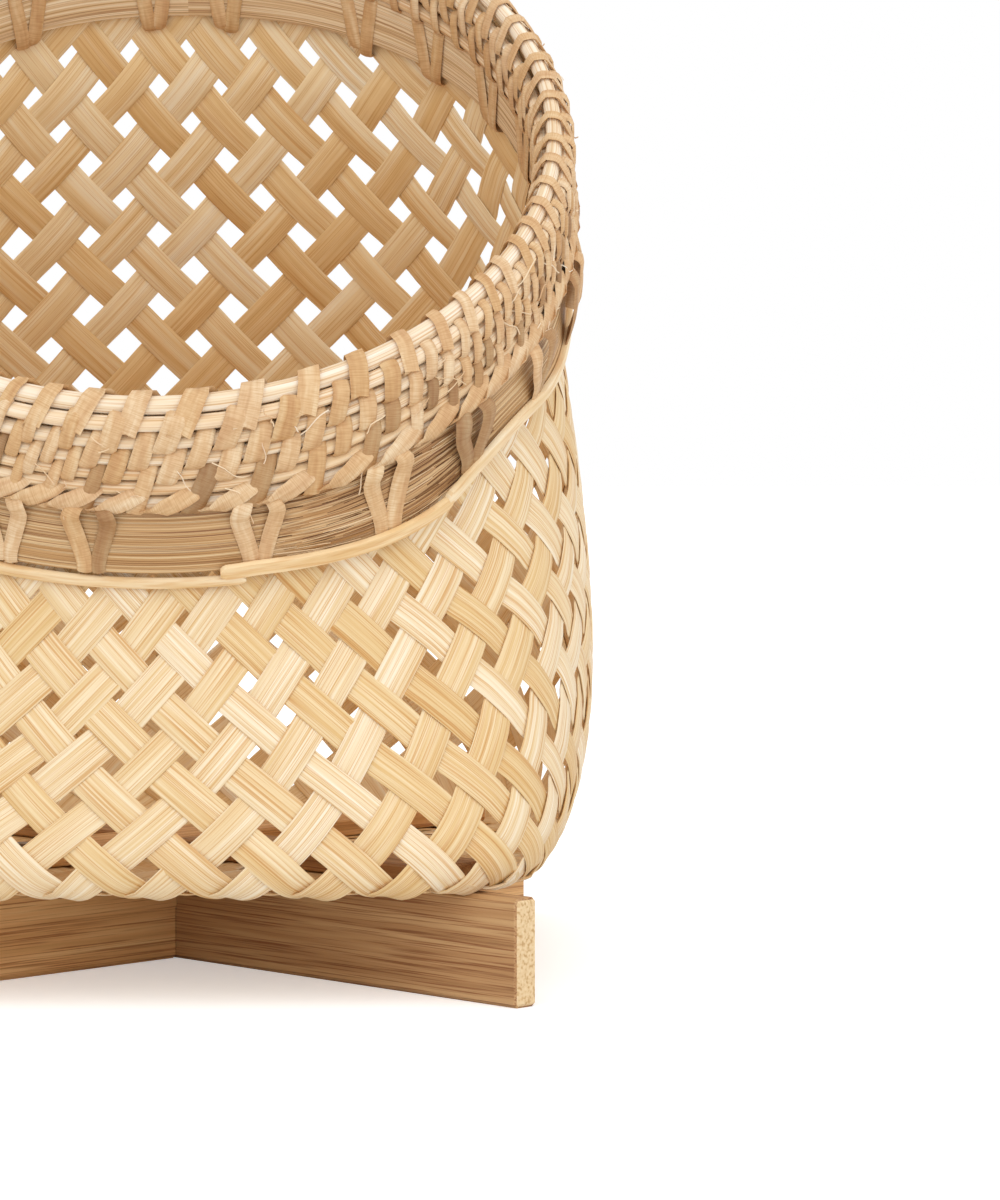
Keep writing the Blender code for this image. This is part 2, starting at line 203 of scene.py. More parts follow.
# %% Helpers
def set_tone(mesh, values):
    tone = mesh.attributes.new("tone", "FLOAT", "POINT")
    values = np.broadcast_to(values, (len(mesh.vertices),))
    tone.data.foreach_set("value", values.astype(np.float32))


def finish_faces(mesh, smooth):
    """Closed pieces get faces that point out, and edges sharper than smooth stay crisp."""
    bm = bmesh.new()
    bm.from_mesh(mesh)
    bmesh.ops.recalc_face_normals(bm, faces=bm.faces)
    bm.to_mesh(mesh)
    bm.free()
    mesh.shade_smooth()
    mesh.set_sharp_from_angle(angle=math.radians(smooth))


def dress(obj, nodes):
    """The piece rides on the body and stands for the nodes."""
    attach(obj, "root")
    if nodes:
        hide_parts(*nodes)


def deselect():
    for obj in bpy.context.selected_objects:
        obj.select_set(False)


# %% [markdown]
# ## Node helper and colours
# Colours are written as the eye sees them, in sRGB hex, and turned to linear light once.
# One function adds a node with its settings and links, so a material reads as a short list.

# %% Node helper
def linear(text, alpha=1.0):
    parts = [int(text[i:i + 2], 16) / 255 for i in (1, 3, 5)]
    return (*[c / 12.92 if c <= 0.04045 else ((c + 0.055) / 1.055) ** 2.4 for c in parts], alpha)


def set_inputs(node, values):
    for key, value in values.items():
        node.inputs[key].default_value = value


def add(tree, kind, links=None, values=None, **settings):
    made = tree.nodes.new(kind)
    for key, value in settings.items():
        setattr(made, key, value)
    set_inputs(made, values or {})
    for key, (source, output) in (links or {}).items():
        tree.links.new(source.outputs[output], made.inputs[key])
    return made


def ramp(tree, source, stops):
    made = add(tree, "ShaderNodeValToRGB", {"Fac": source})
    line = made.color_ramp.elements
    while len(line) < len(stops):
        line.new(0.5)
    for element, (place, colour) in zip(line, stops):
        element.position = place
        element.color = linear(colour)
    return made


def multiply(tree, first, second, share):
    return add(tree, "ShaderNodeMix", {6: first, 7: second}, {0: share},
               data_type="RGBA", blend_type="MULTIPLY")


def noise(tree, place, scale, detail=2.0):
    """Noise stretched by a scale along each direction of the place."""
    stretched = add(tree, "ShaderNodeMapping", {"Vector": place}, {"Scale": scale})
    return add(tree, "ShaderNodeTexNoise", {"Vector": (stretched, 0)},
               {"Scale": 1.0, "Detail": detail})


def new_material(name):
    made = bpy.data.materials.new(name)
    made.use_nodes = True
    tree = made.node_tree
    return made, tree, tree.nodes["Principled BSDF"]


# %% [markdown]
# ## Bamboo and cane
# A bamboo strip is split along its fibres, which show as fine lines that run with the strip.
# The outer face is pale straw and the inner face, nearer the pith, is tan. Cane is shaved from
# rattan: its skin has hardly any lines along it, but fine wrinkles across where it bends.

# %% Fibre material
TONE_SHIFT = 9.0
WRINKLE_WIDE_MM, CREASE_SHADE_SHARE = 5.0, 0.5
BUMP_DEPTH = 0.0004


def fibre_material(name, bands, line, tints, line_mm=0.35, band_mm=1.3, along_mm=40.0,
                   line_share=0.7, roughness=0.55, bump=0.25, wrinkle_mm=0.0):
    """bands and tints are lists of (place, colour). tints are chosen by the strip's tone."""
    made, tree, shader = new_material(name)
    uv = add(tree, "ShaderNodeUVMap", uv_map="UVMap")
    tone = add(tree, "ShaderNodeAttribute", attribute_name="tone")
    far = add(tree, "ShaderNodeMath", {0: (tone, "Fac")}, {1: TONE_SHIFT}, operation="MULTIPLY")
    offset = add(tree, "ShaderNodeCombineXYZ", {"Z": (far, 0)})
    place = add(tree, "ShaderNodeVectorMath", {0: (uv, 0), 1: (offset, 0)}, operation="ADD")
    lines = noise(tree, (place, 0), (1000.0 / line_mm, 1000.0 / along_mm, 1.0), 1.0)
    broad = noise(tree, (place, 0), (1000.0 / band_mm, 500.0 / along_mm, 1.0), 2.0)
    base = ramp(tree, (broad, "Fac"), bands)
    drawn = ramp(tree, (lines, "Fac"), ((0.34, line), (0.50, "#ffffff")))
    marked = multiply(tree, (base, 0), (drawn, 0), line_share)
    tint = ramp(tree, (tone, "Fac"), tints)
    colour = multiply(tree, (marked, 2), (tint, 0), 1.0)
    height = lines
    if wrinkle_mm:
        height = noise(tree, (place, 0), (1000.0 / WRINKLE_WIDE_MM, 1000.0 / wrinkle_mm, 1.0), 1.0)
        # The wrinkles' low places are painted darker, as painted shade in the creases; the bump
        # gives them their relief.
        crease_shade = ramp(tree, (height, "Fac"), ((0.34, "#dec8aa"), (0.60, "#ffffff")))
        colour = multiply(tree, (colour, 2), (crease_shade, 0), CREASE_SHADE_SHARE)
    tree.links.new(colour.outputs[2], shader.inputs["Base Color"])
    shader.inputs["Roughness"].default_value = roughness
    raised = add(tree, "ShaderNodeBump", {"Height": (height, "Fac")},
                 {"Strength": bump, "Distance": BUMP_DEPTH})
    tree.links.new(raised.outputs[0], shader.inputs["Normal"])
    return made


# %% Finishes
strip_outer = fibre_material(
    "bamboo_strip_outer_face", ((0.32, "#e8cd9e"), (0.50, "#f1dfbe"), (0.66, "#f9eed9")), "#dcae66",
    ((0.0, "#fffcf8"), (0.4, "#faf2e4"), (0.75, "#f5e7cc"), (1.0, "#ecd8b2")),
    line_mm=0.32, band_mm=1.0, line_share=0.65)
strip_inner = fibre_material(
    "bamboo_strip_inner_face", ((0.30, "#ecce9c"), (0.50, "#f7e0b6"), (0.68, "#fdf0d6")), "#ddb985",
    ((0.0, "#ffffff"), (0.5, "#f9eedb"), (1.0, "#ead5b4")), band_mm=2.2, line_share=0.55)
cane = fibre_material(
    "flat_cane", ((0.30, "#d5b087"), (0.50, "#e2c39b"), (0.70, "#eed9b9")), "#e0c5a0",
    ((0.0, "#fffcf8"), (0.5, "#f9efdf"), (0.80, "#eedec3"), (0.86, "#d8c6ac"), (1.0, "#bdab95")),
    line_mm=0.9, band_mm=2.6, along_mm=8.0, line_share=0.2, wrinkle_mm=0.3, bump=0.2)
reed_core = fibre_material(
    "round_rattan_core", ((0.34, "#e8cda6"), (0.50, "#f4e0c2"), (0.66, "#faeedb")), "#dcb88c",
    ((0.0, "#ffffff"), (1.0, "#f8ead6")), line_mm=0.4, roughness=0.65)
split = fibre_material(
    "split_bamboo_hoop", ((0.30, "#b4864e"), (0.48, "#d0a672"), (0.66, "#e8cda0")), "#8d5e2c",
    ((0.0, "#ffffff"), (1.0, "#d8b892")),
    line_mm=0.2, band_mm=0.5, along_mm=70.0, line_share=0.8, bump=0.45)
split_pale = fibre_material(
    "split_bamboo_inner_hoop", ((0.30, "#c9a26e"), (0.48, "#e2c195"), (0.66, "#f2dcb8")), "#b0844e",
    ((0.0, "#ffffff"), (1.0, "#ffffff")), line_mm=0.3, band_mm=0.8, along_mm=70.0, bump=0.3)
split_dark = fibre_material(
    "weathered_bamboo_crack", ((0.30, "#7f5731"), (0.50, "#986d42"), (0.70, "#b08657")), "#6a4726",
    ((0.0, "#ffffff"), (1.0, "#c8b8a8")), line_mm=0.2, band_mm=0.4, roughness=0.8)
cream_cane = fibre_material(
    "cream_cane_bead", ((0.30, "#e8c793"), (0.50, "#f4dab0"), (0.70, "#fbeaca")), "#e0b67c",
    ((0.0, "#ffffff"), (1.0, "#fdf4e4")), line_mm=0.7, band_mm=2.4, along_mm=12.0, line_share=0.35)

# %% [markdown]
# ## The woven wall as a map
# The strips cross at 45 degrees and alternate over and under. To lay them, the wall gets two
# coordinates: `turn` counts strips round the basket and `row` counts crossings up the wall. A
# strip is then a line on which row and turn grow together, or against each other.
# Rows are a little closer at the front than at the back, as the photo shows.

# %% Wall surface
STRIPS = 36
SIDE = STRIPS / 4
BASE_HALF, BASE_SQUARENESS = 0.109, 4.5
WALL_SWELL, WALL_LIFT = 0.20, 0.10
NECK_REACH, NECK_SWELL = 0.28, 0.04
MIDDLE = WALL / 2


def wall(angle, share, inset):
    """Points of the wall from the bottom edge (0) to the bead (1), then up the collar to 2."""
    angle, share = np.broadcast_arrays(angle, share)
    n = BASE_SQUARENESS
    spread = np.abs(np.cos(angle)) ** n + np.abs(np.sin(angle)) ** n
    out = np.stack([np.cos(angle), np.sin(angle), np.zeros_like(angle)], axis=-1)
    up = np.array([0.0, 0.0, 1.0])
    outer = collar(BEAD_LOW, 0.0, angle)
    height = (outer[..., 2] - FLOOR_BOTTOM)[..., None]
    edge = (BASE_HALF - inset) / spread ** (1.0 / n)
    start = out * edge[..., None] + up * (FLOOR_BOTTOM + inset)
    end = collar(BEAD_LOW, -inset, angle)
    below = wall_radius(BEAD_LOW, angle) - wall_radius(BEAD_LOW + COLLAR_DROP, angle)
    along = unit(collar(BEAD_LOW + COLLAR_DROP, below, angle) - outer)
    lift = start + out * (WALL_SWELL * height) + up * (WALL_LIFT * height)
    reach = end + along * (NECK_REACH * height) + out * (NECK_SWELL * height)
    s = np.clip(share, 0.0, 1.0)[..., None]
    r = 1.0 - s
    lower = start * r ** 3 + lift * 3 * r * r * s + reach * 3 * r * s * s + end * s ** 3
    upper = collar(BEAD_LOW * (2.0 - np.maximum(share, 1.0)), -inset, angle)
    return np.where((share <= 1.0)[..., None], lower, upper)


# %% Rows and turns over the wall
ROWS_PER_METRE_FRONT, ROWS_PER_METRE_BACK = 49.3, 39.0
# Each pair is a height and the rise above it over which a change grows, in metres.
AXIS_BACK, AXIS_SPAN = 0.030, (0.10, 0.16)
CORNER_PULL, CORNER_SPAN = 0.052, (FLOOR_BOTTOM, 0.13)
SIDE_PULL, SIDE_SPAN = 0.09, (FLOOR_BOTTOM, 0.06)
FRONT_LEAN, LEAN_SPAN = 0.55, (0.04, 0.07)


def grown(height, span):
    """0 below the span, 1 above it."""
    return smooth_step((height - span[0]) / span[1])


angles = np.linspace(-math.pi, math.pi, 361)
shares = np.concatenate([np.linspace(0.0, 1.0, 81), np.linspace(1.0, 2.15, 47)[1:]])
field = wall(angles[None, :], shares[:, None], MIDDLE)
climb = np.cumsum(np.linalg.norm(np.diff(field, axis=0), axis=2), axis=0)
climb = np.concatenate([np.zeros((1, len(angles))), climb])
height = field[..., 2]
centre_y = -AXIS_BACK * grown(height, AXIS_SPAN)
polar = np.unwrap(np.arctan2(field[..., 1] - centre_y, field[..., 0]), axis=1)
polar = polar - 2 * math.pi * np.round(polar.mean(axis=1, keepdims=True) / (2 * math.pi))
square = 1.0 - grown(height, CORNER_SPAN)
settled = grown(height, SIDE_SPAN)
turned = polar - CORNER_PULL * square * np.sin(4 * polar) + SIDE_PULL * settled * np.cos(polar)
turn_of = (turned + math.pi / 2) * STRIPS / (2 * math.pi)
front = (1.0 - np.sin(polar)) / 2
rows_per_metre = ROWS_PER_METRE_BACK + (ROWS_PER_METRE_FRONT - ROWS_PER_METRE_BACK) * front
lean = FRONT_LEAN * grown(height, LEAN_SPAN) * np.cos(polar) * front
row_of = climb * rows_per_metre - lean
top_row = float(row_of.max())

# %% The map: points by row and turn
ROW_STEP, TURN_STEP = 0.05, 0.1
row_grid = np.arange(0.0, top_row + 0.2, ROW_STEP)
turn_grid = np.arange(0.0, STRIPS + TURN_STEP / 2, TURN_STEP)
by_row = np.empty((len(row_grid), len(angles), 5))
for i in range(len(angles)):
    rising = np.maximum.accumulate(row_of[:, i] + 1e-9 * np.arange(len(shares)))
    for axis in range(3):
        by_row[:, i, axis] = np.interp(row_grid, rising, field[:, i, axis])
    by_row[:, i, 3] = np.interp(row_grid, rising, turn_of[:, i])
    by_row[:, i, 4] = np.interp(row_grid, rising, shares)
wall_map = np.empty((len(row_grid), len(turn_grid), 4))
for j in range(len(row_grid)):
    turns = by_row[j, :-1, 3]
    turns_thrice = np.concatenate([turns - STRIPS, turns, turns + STRIPS])
    for axis, source in enumerate((0, 1, 2, 4)):
        thrice = np.tile(by_row[j, :-1, source], 3)
        wall_map[j, :, axis] = np.interp(turn_grid, turns_thrice, thrice)
step_up = np.gradient(wall_map[..., :3], axis=0)
step_round = np.gradient(wall_map[..., :3], axis=1)
step_round[:, 0] = step_round[:, -1] = wall_map[:, 1, :3] - wall_map[:, -2, :3]
facing = unit(np.cross(step_round, step_up))
print("rows at the back:", round(top_row, 1))


def look_up(table, turn, row):
    """Bilinear reading of a table laid out by row and turn."""
    x = np.mod(turn, STRIPS) / TURN_STEP
    y = np.clip(row / ROW_STEP, 0.0, len(row_grid) - 1.001)
    i, j = y.astype(int), np.minimum(x.astype(int), len(turn_grid) - 2)
    fy, fx = (y - i)[:, None], (x - j)[:, None]
    low = table[i, j] * (1 - fx) + table[i, j + 1] * fx
    high = table[i + 1, j] * (1 - fx) + table[i + 1, j + 1] * fx
    return low * (1 - fy) + high * fy


# %% [markdown]
# ## Laying the strips
# Each strip climbs one wall, folds under the bottom edge, runs straight along a diagonal of
# the bottom and climbs another wall. The pairing at each corner is what makes a square bottom
# out of a diagonal weave. The strip waves in and out by half its thickness at each crossing.

# %% Strip paths
STRIP_HALF, STRIP_THICK, WAVE = 0.00505, 0.0008, 0.00045
STEP = 1.0 / 16
BOTTOM_PITCH = 2 * BASE_HALF / SIDE
STRIP_END_DEPTH = 0.0045
SHARE_TOP = 2.0 - STRIP_END_DEPTH / BEAD_LOW
STRIP_DENT, STRIP_ASIDE = 0.0006, 0.0005
BACK_BROADER = 0.07
FLAT_TOP = 1.9


def wall_path(start, lean_sign):
    """turn and row of a strip from the bottom edge to the rim."""
    rows = np.arange(0.0, top_row, STEP)
    turns = start + lean_sign * rows
    shares_here = look_up(wall_map, turns, rows)[:, 3]
    over = np.nonzero(shares_here > SHARE_TOP)[0]
    last = over[0] if len(over) else len(rows)
    return turns[:last], rows[:last]


def square_point(turn):
    """A point on the edge of the square bottom, counted in strips."""
    turn = (turn + SIDE / 2) % STRIPS - SIDE / 2
    side = int((turn + SIDE / 2) // SIDE)
    place = turn - side * SIDE
    half = SIDE / 2
    return np.array([(place, -half), (half, place), (-place, half), (-half, -place)][side])


def square_turn(x, y):
    """The turn of the edge point that lies outward from a point of the bottom."""
    edge = SIDE / 2 - 1e-6
    reach = np.maximum(np.maximum(np.abs(x), np.abs(y)), 1e-9)
    x, y = x / reach * SIDE / 2, y / reach * SIDE / 2
    turn = np.where(y <= -edge, x, 0.0)
    turn = np.where((x >= edge) & (y > -edge), SIDE + y, turn)
    turn = np.where((y >= edge) & (x < edge), 2 * SIDE - x, turn)
    return np.where((x <= -edge) & (y < edge) & (y > -edge), 3 * SIDE - y, turn)


def bottom_points(x, y):
    """The bottom's weave grid, square in the middle and rounded at the edge."""
    reach = np.maximum(np.abs(x), np.abs(y)) / (SIDE / 2)
    edge = look_up(wall_map, square_turn(x, y), np.zeros(len(x)))[:, :3]
    blend = (reach ** 3)[:, None]
    height = np.full(len(x), FLOOR_BOTTOM + MIDDLE)
    flat = np.stack([x * BOTTOM_PITCH, y * BOTTOM_PITCH, height], axis=1)
    rim = edge.copy()
    rim[:, :2] *= reach[:, None]
    return flat * (1 - blend) + rim * blend


# %% Strips
def wave(phase):
    """Over and under, from 1 to -1, a little flattened at the crossings."""
    return np.tanh(FLAT_TOP * np.cos(2 * math.pi * phase)) / math.tanh(FLAT_TOP)


def wander(count, low, high):
    """A slow swing along a strip, as no hand lays it quite straight."""
    return np.sin(np.linspace(0, rng.uniform(low, high), count) + rng.uniform(0, 6))


def lay_strip(ribbons, corner, k):
    """The strip that passes a corner of the bottom, k strips further in than the first one."""
    up_turn, up_row = wall_path(corner + k + 0.5, 1)
    back_turn, back_row = wall_path(corner - k - 0.5, -1)
    run = k + 0.5
    b = np.linspace(0.0, run, max(3, int(round(run / STEP)) + 1))[1:-1]
    a_end, b_end = square_point(corner + k + 0.5), square_point(corner - k - 0.5)
    grid = a_end + (b_end - a_end) * (b / run)[:, None]
    centre = np.concatenate([
        look_up(wall_map, up_turn, up_row)[::-1, :3],
        bottom_points(grid[:, 0], grid[:, 1]),
        look_up(wall_map, back_turn, back_row)[:, :3]])
    down = np.broadcast_to([0.0, 0.0, -1.0], (len(b), 3))
    normal = np.concatenate([
        look_up(facing, up_turn, up_row)[::-1], down, look_up(facing, back_turn, back_row)])
    for _ in range(3):
        normal[1:-1] = unit(normal[:-2] + normal[1:-1] + normal[2:])
    over_under = np.concatenate([wave(up_row)[::-1], wave(b), -wave(back_row)]) * WAVE
    # Shallow dents, everywhere but on the bottom, keep the wall from looking machine-made.
    x, y, z = centre.T
    dents = np.sin(x * 61 + z * 47) * np.sin(y * 53 - z * 38)
    dents = dents * STRIP_DENT * smooth_step((z - 0.035) / 0.02)
    centre = centre + normal * (over_under + np.minimum(dents, 0.0))[:, None]
    ahead = unit(np.gradient(centre, axis=0))
    side = unit(np.cross(ahead, normal))
    aside = rng.normal(0.0, STRIP_ASIDE) + STRIP_ASIDE * wander(len(centre), 9, 16)
    centre = centre + side * aside[:, None]
    # The strips at the back are broader, so that the openings there are smaller.
    broader = 1.0 + BACK_BROADER * smooth_step((centre[:, 1] + 0.01) / 0.08)
    half = STRIP_HALF * broader * rng.uniform(0.94, 1.06) * (1 + 0.03 * wander(len(centre), 6, 12))
    ribbons.add(centre, side, unit(np.cross(side, ahead)), half, STRIP_THICK, rng.uniform(0, 1))


for name, corners in (("weave_strips_a", (0, 2)), ("weave_strips_b", (1, 3))):
    strips = Ribbons(STRIP_SECTION)
    for corner in corners:
        for k in range(int(SIDE)):
            lay_strip(strips, SIDE / 2 + corner * SIDE, k)
    dress(strips.build(name, [strip_outer, strip_inner]), ["woven_body"])

# %% [markdown]
# ## Hoops
# The hoops are split bamboo, bent flat round the collar. A plain tube is the right start: it is
# drawn at unit size, its two edges are carried to the collar, and two modifiers give it its
# thickness and soft edges. Its own map is scaled to metres so that the fibres run round it.

# %% Hoops
HOOP_SIDES = 144
HOOP_EDGE = 0.0005
SLOW_RIPPLE, FAST_RIPPLE = 0.00012, 0.0001
ROUGH_FROM, ROUGH_TO, ROUGH_FADE = 12.0, 42.0, 14.0


def rough_share(angle):
    """How rough and brown the outer hoop is: it has weathered on one stretch near the right."""
    place = math.degrees(angle) + 90.0
    begun = smooth_step((place - ROUGH_FROM) / ROUGH_FADE)
    return float(begun * (1.0 - smooth_step((place - ROUGH_TO) / ROUGH_FADE)))


def hoop(name, top, low, offset, thick, finish, weathered):
    """top and low are each a depth and a share of the hoop's rise."""
    deselect()
    bpy.ops.mesh.primitive_cylinder_add(
        vertices=HOOP_SIDES, radius=1.0, depth=1.0, end_fill_type="NOTHING", calc_uvs=True)
    obj = bpy.context.object
    obj.name = obj.data.name = name
    mesh = obj.data
    layer = mesh.uv_layers[0]
    layer.name = "UVMap"
    round_length = 2 * math.pi * COLLAR_TOP_RADIUS
    for loop in mesh.loops:
        upper = mesh.vertices[loop.vertex_index].co.z > 0
        turn = layer.data[loop.index].uv[0]
        layer.data[loop.index].uv = (0.0 if upper else low[0] - top[0], turn * round_length)
    tones = []
    for vertex in mesh.vertices:
        angle = math.atan2(vertex.co.y, vertex.co.x)
        tones.append(0.1 + weathered * rough_share(angle))
        edge, share = top if vertex.co.z > 0 else low
        depth = edge - share * hoop_rise(angle)
        depth = drawn_up(depth, angle) if offset > 0 else depth
        ripple = SLOW_RIPPLE * math.sin(5 * angle + 900 * top[0])
        ripple += FAST_RIPPLE * math.sin(11 * angle)
        vertex.co = Vector(collar(depth, offset + thick + ripple, angle))
    set_tone(mesh, tones)
    solid = obj.modifiers.new("thickness", "SOLIDIFY")
    solid.thickness = thick
    solid.offset = -1.0
    soft = obj.modifiers.new("soft_edges", "BEVEL")
    soft.width = HOOP_EDGE
    soft.segments = 2
    soft.harden_normals = False
    mesh.materials.append(finish)
    bpy.ops.object.convert(target="MESH")
    finish_faces(obj.data, 40.0)
    return obj


outer = hoop("hoop_outside", (HOOP_TOP, 0.0), (HOOP_LOW, 1.0), GAP, HOOP_THICK, split, 0.2)
dress(outer, ["outer_hoop"])
inner = hoop("hoop_inside", (INNER_HOOP_TOP, 0.0), (INNER_HOOP_LOW, 0.0),
             -WALL - GAP - INNER_HOOP_THICK, INNER_HOOP_THICK, split_pale, 0.0)
dress(inner, ["inner_hoop"])

# %% [markdown]
# ## Weathered stretch of the hoop
# On one stretch the hoop has cracked along its fibres. Dark cracks and pale, lifted splinters
# lie along it. Each is a very narrow ribbon, and a splinter's free end stands off a little.

# %% Cracks and splinters
CRACKS, SPLINTERS = 46, 40
CRACK_SPAN = (12.0, 43.0)
CRACK_THICK, CRACK_POINTS = 0.0003, 10


def lay_flat(ribbons, depth, out, turns, half, thick, tone, crown=0.0):
    """A ribbon that lies flat against the collar and runs round it."""
    centre = collar(depth, out, turns)
    ahead = unit(np.gradient(centre, axis=0))
    normal = unit(collar(depth, out + 0.001, turns) - centre)
    side = unit(np.cross(ahead, normal))
    ribbons.add(centre, side, unit(np.cross(side, ahead)), half, thick, tone, crown)


def lay_along(ribbons, lifted, half):
    """A narrow ribbon along the outer hoop's face, at a place chosen within the rough stretch."""
    gone = np.linspace(0.0, 1.0, CRACK_POINTS)
    start = math.radians(rng.uniform(*CRACK_SPAN) - 90.0)
    run = np.linspace(0.0, rng.uniform(0.006, 0.026), CRACK_POINTS)
    turns = start + run / COLLAR_TOP_RADIUS
    share = rng.uniform(0.04, 0.96)
    across = share * (HOOP_LOW - HOOP_TOP - hoop_rise(turns)) + rng.normal(0, 0.0004) * gone
    outs = GAP + HOOP_THICK + lifted * gone ** 2
    taper = np.sin(np.linspace(0.15, math.pi - 0.15, CRACK_POINTS))
    lay_flat(ribbons, drawn_up(HOOP_TOP + across, turns), outs, turns, half * taper, CRACK_THICK,
             rng.uniform(0, 1))


cracks = Ribbons(CANE_SECTION)
for _ in range(CRACKS):
    lay_along(cracks, 0.0, rng.uniform(0.0001, 0.00023))
dress(cracks.build("hoop_cracks", [split_dark]), [])
splinters = Ribbons(CANE_SECTION)
for _ in range(SPLINTERS):
    lay_along(splinters, rng.uniform(0.0002, 0.0012), rng.uniform(0.00012, 0.0003))
dress(splinters.build("hoop_splinters", [split_pale]), [])

# %% [markdown]
# ## Bead
# A narrow cream cane covers the hoop's low edge. It goes round in four lengths. Each length
# starts with a rounded end that lies outside and above the end of the one before, as the photo
# shows at two places. A length is given by its angles, then by how far its middle lies below
# the hoop's edge at its start and its end, by its half width there, and by its distance out.

# %% Bead
BEAD_LENGTHS = (
    (-78.0, 13.0, 0.0024, 0.0041, 0.0025, 0.0015, 0.0021),
    (9.4, 43.0, -0.0010, 0.0018, 0.0025, 0.0022, 0.0042),
    (42.0, 158.0, 0.0002, 0.0018, 0.0023, 0.0023, 0.0038),
    (156.5, 283.5, 0.0012, 0.0024, 0.0023, 0.0025, 0.0028))
STEP_DEGREES, TIP_DEGREES, LIFT_DEGREES = 1.2, 0.9, 6.0
BEAD_LIFT, BEAD_CROWN, BEAD_FLAT_THICK = 0.0010, 0.0004, BEAD_THICK * 0.7
bead = Ribbons(STRIP_SECTION)
for first, last, start_below, end_below, start_half, end_half, bead_out in BEAD_LENGTHS:
    degrees = np.linspace(first, last, int((last - first) / STEP_DEGREES) + 2)
    # Close cross-sections at both ends draw the rounded tips.
    tip = np.array([0.0, 0.12, 0.35, 0.8])
    degrees = np.concatenate([first + tip, degrees[1:-1], (last - tip)[::-1]])
    turns = np.radians(degrees - 90.0)
    from_start, from_end = degrees - first, last - degrees
    gone = from_start / (last - first)
    out = bead_out + BEAD_LIFT * (1.0 - smooth_step(from_start / LIFT_DEGREES))
    depth = HOOP_LOW - hoop_rise(turns) + start_below + (end_below - start_below) * gone
    rounded = np.minimum(from_start, from_end) / TIP_DEGREES
    half = start_half + (end_half - start_half) * gone
    half = half * np.sqrt(np.clip(1 - (1 - np.minimum(rounded, 1.0)) ** 2, 0.12, 1.0))
    lay_flat(bead, depth, out, turns, half, BEAD_FLAT_THICK, rng.uniform(0, 1), BEAD_CROWN)
dress(bead.build("bead", [cream_cane]), ["bead_strip"])

# %% [markdown]
# ## Rim reeds
# Round rattan core is bent into rings, one on the edge, six outside and three inside. A torus
# of unit size gives the ring; its points are carried to the collar, whose shape is not quite
# round, and its map is scaled to metres.

# %% Reeds
REED_SIDES, REED_FACETS, UNIT_TUBE = 144, 10, 0.1
OUTER_REED_OUT = GAP + REED_RADIUS
INNER_REED_OUT = -(WALL + GAP + REED_RADIUS)


def reed(name, depth, out, thickness):
    """A ring of reed. Its node in the frame has the same name after rim_."""
    deselect()
    bpy.ops.mesh.primitive_torus_add(
        major_segments=REED_SIDES, minor_segments=REED_FACETS, major_radius=1.0,
        minor_radius=UNIT_TUBE, generate_uvs=True)
    obj = bpy.context.object
    obj.name = obj.data.name = name
    mesh = obj.data
    for vertex in mesh.vertices:
        angle = math.atan2(vertex.co.y, vertex.co.x)
        across = (math.hypot(vertex.co.x, vertex.co.y) - 1.0) / UNIT_TUBE
        down = -vertex.co.z / UNIT_TUBE
        middle = drawn_up(depth, angle) if out > 0 else depth
        vertex.co = Vector(collar(middle + thickness * down, out + thickness * across, angle))
    layer = mesh.uv_layers[0]
    layer.name = "UVMap"
    flat = np.empty(len(layer.data) * 2, np.float32)
    layer.data.foreach_get("uv", flat)
    flat = flat.reshape(-1, 2)[:, ::-1] * (2 * math.pi * thickness, 2 * math.pi * COLLAR_TOP_RADIUS)
    layer.data.foreach_set("uv", flat.astype(np.float32).reshape(-1))
    set_tone(mesh, rng.uniform(0.0, 1.0))
    mesh.materials.append(reed_core)
    finish_faces(mesh, 60.0)
    dress(obj, ["rim_" + name])


reed("reed_top", 0.0003, -MIDDLE, TOP_REED_RADIUS)
for index, depth in enumerate(OUTER_REED_DEPTHS):
    reed(f"reed_outer_{index + 1}", depth, OUTER_REED_OUT, REED_RADIUS)
for index, depth in enumerate(INNER_REED_DEPTHS):
    reed(f"reed_inner_{index + 1}", depth, INNER_REED_OUT, REED_RADIUS)

# %% [markdown]
# ## The braid
# Flat cane binds the reeds. Each wrap covers two reeds and then dives behind the next, and the
# columns are offset by half a step, like bricks, which reads as a braid. A wrap is a ribbon
# along a smooth curve through a few points, each a depth and a distance out from the wall.

# %% Cane over the collar
WRAP_SHARE, WRAP_THICK = 0.385, 0.0009
RIM_LEAN, ROW_LEAN = 0.46, 0.32
REACH, LOOSER = REED_RADIUS + WRAP_THICK / 2, 0.0003
# How far past the reed's middle a wrap is, and how far out, from its tucked end to the reed.
TUCK = ((0.0029, -0.0006), (0.0024, 0.0012), (0.0008, 0.0025))
BETWEEN_LIFT = 0.0027


def smooth_path(points, count):
    """A smooth curve that passes through the points."""
    points = np.asarray(points, float)
    ends = np.concatenate([[2 * points[0] - points[1]], points, [2 * points[-1] - points[-2]]])
    place = np.linspace(0.0, len(points) - 1 - 1e-9, count)
    i = place.astype(int)
    f = (place - i)[:, None]
    a, b, c, d = (ends[i + k] for k in range(4))
    cubic = (3 * b - a - 3 * c + d) * f ** 3
    return 0.5 * (2 * b + (c - a) * f + (2 * a - 5 * b + 4 * c - d) * f ** 2 + cubic)


